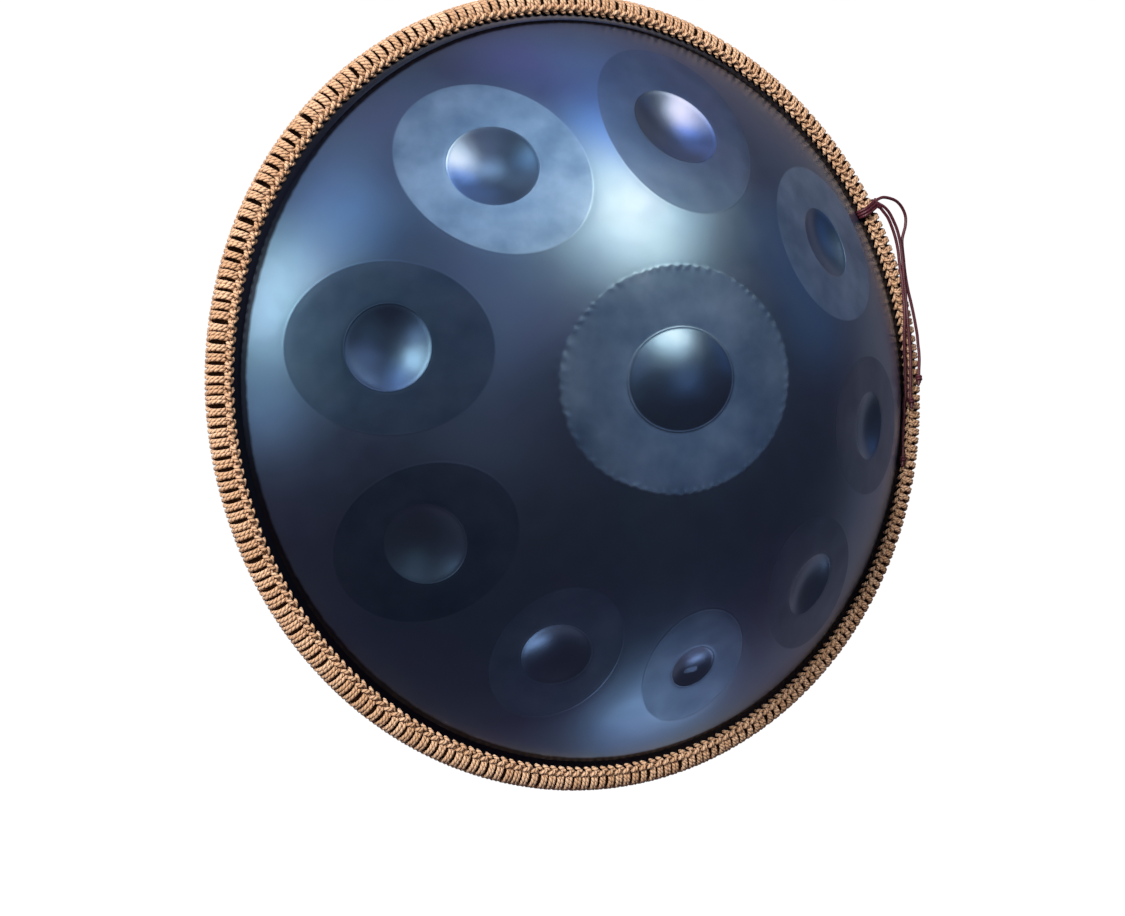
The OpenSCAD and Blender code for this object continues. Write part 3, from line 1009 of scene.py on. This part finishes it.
def rim_tree():
    tree, given, result = new_group(
        "rim_stitches", "GeometryNodeTree",
        [("Count", INT, 100), ("Height", FLOAT, 0.0), ("Half step", FLOAT, 0.0), ("Seed", INT, 1),
         ("Templates", COLLECTION, None), ("Cord", MATERIAL, None)],
        [("Trim", GEOMETRY)])
    circle = place(tree, "GeometryNodeMeshCircle",
                   {"Vertices": given["Count"], "Radius": 0.001}, out="Mesh")
    index = place(tree, "GeometryNodeInputIndex")
    centre = vector(tree, 0.0, 0.0, given["Height"])
    points = place(tree, "GeometryNodeSetPosition", {"Geometry": circle, "Position": centre})
    angle = (index + given["Half step"]) / given["Count"] * math.tau
    wander = random_number(tree, -0.0016, 0.0016, given["Seed"])
    tone = random_number(tree, 0.0, 1.0, given["Seed"] + 5.0)
    pick = place(tree, "GeometryNodeCollectionInfo",
                 {"Collection": given["Templates"], "Separate Children": True, "Reset Children": True})
    choice = (tone * 97.0).whole()
    stamped = place(tree, "GeometryNodeInstanceOnPoints",
                    {"Points": points, "Instance": pick, "Pick Instance": True,
                     "Instance Index": choice, "Rotation": vector(tree, 0.0, 0.0, angle + wander)})
    toned = place(tree, "GeometryNodeStoreNamedAttribute",
                  {"Geometry": stamped, "Name": "stitch_tone", "Value": tone},
                  data_type="FLOAT", domain="INSTANCE")
    real = place(tree, "GeometryNodeRealizeInstances", {"Geometry": toned})
    feed(result.inputs["Trim"],
         place(tree, "GeometryNodeSetMaterial", {"Geometry": real, "Material": given["Cord"]}))
    return tree


RIM_TREE = rim_tree()


def set_out(name, collection_name, seed, half_step=0.0):
    return grow(name, RIM_TREE, {
        "Count": STITCHES, "Height": RIM_Z, "Half step": half_step, "Seed": seed,
        "Templates": bpy.data.collections[collection_name], "Cord": JUTE})


def edge_cord():
    """The bundle of cord along the flange's edge that the stitches are worked over, coloured near
    black as painted shade in the gaps between the stitches.
    """
    material, tree, shader = new_material("jute_edge")
    where = object_place(tree)
    fibres = ripples(tree, where, 420.0, 3.0) + 0.5
    # Painted shade: a near-black brown, so the gaps between the stitches read dark.
    shade = mix_colours(tree, fibres, (0.020, 0.010, 0.006, 1), (0.085, 0.040, 0.018, 1))
    feed(shader["Base Color"], shade)
    feed(shader["Roughness"], 0.8 + 0.15 * fibres)
    feed(shader["Normal"], bump(tree, fibres, 0.6 * MM))
    section = [(x, RIM_Z + z) for x, z in arc(WRAP_X, 0.0, WRAP_R - 2.6 * MM, 0, 336, 14)]
    return lathe("rim_edge_cord", section, 240, material)


keep(edge_cord(), "jute_cord", "rim_wrap")
upper_half = set_out("rim_stitches_upper", "stitch_upper", 11)
lower_half = set_out("rim_stitches_lower", "stitch_lower", 11, half_step=0.5)
keep(upper_half, "jute_cord", "rim_wrap")
keep(lower_half, "jute_cord", "rim_wrap")

# %% [markdown]
# ## The plaited chains
# Above and below, the stitches end in a crocheted chain along the inner edge: a plait of two
# rows of short fat bights that slant opposite ways and meet in the middle, half a step apart.
# Each leg of a stitch ends in one bight. One link is two short swept bights, and the same tree
# sets the links out.

# %% Chain templates
INNER_FOOT, OUTER_FOOT = Vector((264.7, 5.2)) * MM, Vector((267.1, 6.9)) * MM
BIGHT_LENGTH, BIGHT_SLANT, BIGHT_R = 4.9 * MM, 2.9 * MM, 1.34 * MM


def bight(inner, upper, rng):
    """One slanted bight of the plait, thick in its middle and tucked under at both ends."""
    way, flip = (-1 if inner else 1), (1 if upper else -1)
    foot = INNER_FOOT if inner else OUTER_FOOT
    start = -0.25 if inner else 0.25
    line = []
    for step in range(7):
        share = step / 6
        hump = math.sin(math.pi * share)
        x = foot.x - way * (share - 0.5) * BIGHT_SLANT
        under = (1 - share) * MM if inner else 0.0
        z = foot.y + (1.2 + 0.3 * rng.random()) * hump * MM - under
        line.append(Vector((x, start * STITCH_STEP + (share - 0.5) * BIGHT_LENGTH, z * flip)))
    size = BIGHT_R + 0.22 * rng.random() * MM
    return sweep(line, lambda share: size * (0.55 + 0.45 * math.sin(math.pi * share) ** 0.7), 8,
                 rng.random() * 0.02)


for number in range(6):
    for half, upper in (("upper", True), ("lower", False)):
        link = [bight(True, upper, rng), bight(False, upper, rng)]
        template(f"chain_{half}", f"chain_{half}_{number}", link)

chain_top = set_out("rim_chain_top_cord", "chain_upper", 23, half_step=0.5)
chain_bottom = set_out("rim_chain_bottom_cord", "chain_lower", 24, half_step=0.5)
keep(chain_top, "jute_cord", "rim_chain_top")
keep(chain_bottom, "jute_cord", "rim_chain_bottom")

for made in templates:
    bpy.data.objects.remove(made)
for store in ("stitch_upper", "stitch_lower", "chain_upper", "chain_lower"):
    bpy.data.collections.remove(bpy.data.collections[store])

# %% [markdown]
# ## The floor
# A plain pale floor. The camera sees it white, with a soft shade close under the instrument,
# and the steel and the cords see only a faint glow from it.

# %% Floor
FLOOR_GLOW = (0.18, 0.155, 0.16, 1)
SHADE_REACH = 0.045


def pale_floor():
    material, tree, shader = new_material("pale_floor")
    where = object_place(tree)
    clouds = ripples(tree, where, 1.5, 2.0) + 0.5
    pale = mix_colours(tree, clouds, (0.80, 0.80, 0.80, 1), (0.84, 0.84, 0.84, 1))
    feed(shader["Base Color"], pale)
    feed(shader["Roughness"], 0.8)
    open_air = place(tree, "ShaderNodeAmbientOcclusion", {"Distance": SHADE_REACH}, out="AO")
    shown = mix_colours(tree, open_air, (0.30, 0.30, 0.32, 1), (1, 1, 1, 1))
    seen = place(tree, "ShaderNodeLightPath", out="Is Camera Ray")
    feed(shader["Emission Color"], mix_colours(tree, seen, FLOOR_GLOW, shown))
    feed(shader["Emission Strength"], 1.0)
    return material


FLOOR_HALF = 4.0
corners = [(x * FLOOR_HALF, y * FLOOR_HALF, 0) for x, y in ((-1, -1), (1, -1), (1, 1), (-1, 1))]
floor_mesh = bpy.data.meshes.new("floor")
floor_mesh.from_pydata(corners, [], [(0, 1, 2, 3)])
floor_mesh.materials.append(pale_floor())
floor = add_object("floor", floor_mesh)
print(f"floor {2 * FLOOR_HALF} m across")

# %% [markdown]
# ## The lights
# On satin steel the lights are what shows: each one lays a soft pool where the dome mirrors it,
# so their places round the instrument matter more than their power. Each softbox is put at an
# azimuth (from +X towards +Y) and an elevation. The steel and the cords have their own lights,
# because what suits a mirror is too dim for a matt cord.

# %% Lights
LIGHT_DISTANCE = 2.4
LIGHT_AIM = Vector((0, 0, RIM_Z + 0.08))
WORLD_GLOW = (0.050, 0.038, 0.048, 1)


def softbox(name, azimuth, elevation, width, height, power, colour):
    """A soft area light that faces the middle of the dome."""
    a, e = math.radians(azimuth), math.radians(elevation)
    away = Vector((math.cos(a) * math.cos(e), math.sin(a) * math.cos(e), math.sin(e)))
    lamp = bpy.data.lights.new(name, "AREA")
    lamp.shape = "RECTANGLE"
    lamp.size, lamp.size_y = width, height
    lamp.energy = power
    lamp.color = colour
    made = add_object(name, lamp)
    made.matrix_world = (Matrix.Translation(LIGHT_AIM + away * LIGHT_DISTANCE)
                         @ away.to_track_quat("Z", "Y").to_matrix().to_4x4())
    return made


def light_only(lamp, pieces):
    """Lets a light reach only some pieces, as a studio does with a flag or a snoot."""
    reached = bpy.data.collections.new("lit_by_" + lamp.name)
    for piece in pieces:
        reached.objects.link(piece)
    lamp.light_linking.receiver_collection = reached


# Name, azimuth, elevation, width, height, watts and colour. The watts and colours, and the two
# glows of the floor and the world, are the rounded results of a least-squares fit made by another
# program, and some of the lights' were changed afterwards.
STEEL_LIGHTS = [
    ("key", 56, 42, 1.1, 1.2, 16.7, (1.0, 0.97, 0.79)),
    ("key_core", 55, 39, 0.45, 0.45, 5.0, (1.0, 0.5, 0.15)),
    ("key_side", 92, 33, 0.9, 0.7, 3.8, (0.8, 0.9, 1.0)),
    ("left_strip", 150, 15, 0.8, 0.7, 8.7, (0.9, 1.0, 0.8)),
    ("left_wide", 128, 20, 0.7, 0.7, 2.4, (0.5, 0.72, 1.0)),
    ("left_low", 173, 16, 0.5, 0.5, 1.2, (0.76, 0.88, 1.0)),
    ("back_low", 70, 2, 1.2, 0.4, 1.3, (0.45, 0.6, 1.0)),
    ("back_middle", 62, 22, 0.7, 0.35, 3.0, (0.1, 0.4, 1.0)),
    ("back_left", 108, 8, 1.2, 0.6, 1.0, (0.85, 0.88, 1.0)),
    ("right_fill", 15, 15, 1.2, 0.7, 0.75, (0.3, 0.56, 1.0)),
    ("near_fill", -68, 3, 0.8, 0.4, 2.7, (0.76, 0.86, 1.0)),
    ("over_fill", 120, 62, 1.2, 1.2, 1.7, (0.77, 0.8, 1.0)),
    ("near_over", -165, 65, 1.0, 1.0, 0.4, (0.7, 1.0, 0.95)),
    ("ding_fill", 0, 60, 0.9, 0.9, 1.1, (0.5, 0.68, 1.0)),
]
CORD_LIGHTS = [
    ("cord_key", 138, 32, 0.6, 0.6, 80.0, (1.0, 0.92, 0.85)),
    ("cord_fill", 50, 60, 0.8, 0.8, 13.0, (1.0, 0.95, 0.9)),
]
cords = [upper_half, lower_half, chain_top, chain_bottom, hitch, *strands.values(), *knots.values()]
for table, pieces in ((STEEL_LIGHTS, [top_shell, bottom_shell]), (CORD_LIGHTS, cords)):
    for row in table:
        light_only(softbox(*row), pieces)
print(f"{len(STEEL_LIGHTS)} lights on the steel, {len(CORD_LIGHTS)} on the cords")

world = bpy.data.worlds.new("studio")
bpy.context.scene.world = world
world.use_nodes = True
backdrop = world.node_tree.nodes["Background"]
seen = place(world.node_tree, "ShaderNodeLightPath", out="Is Camera Ray")
feed(backdrop.inputs["Color"], mix_colours(world.node_tree, seen, WORLD_GLOW, (1, 1, 1, 1)))
bpy.context.scene.view_settings.view_transform = "Standard"
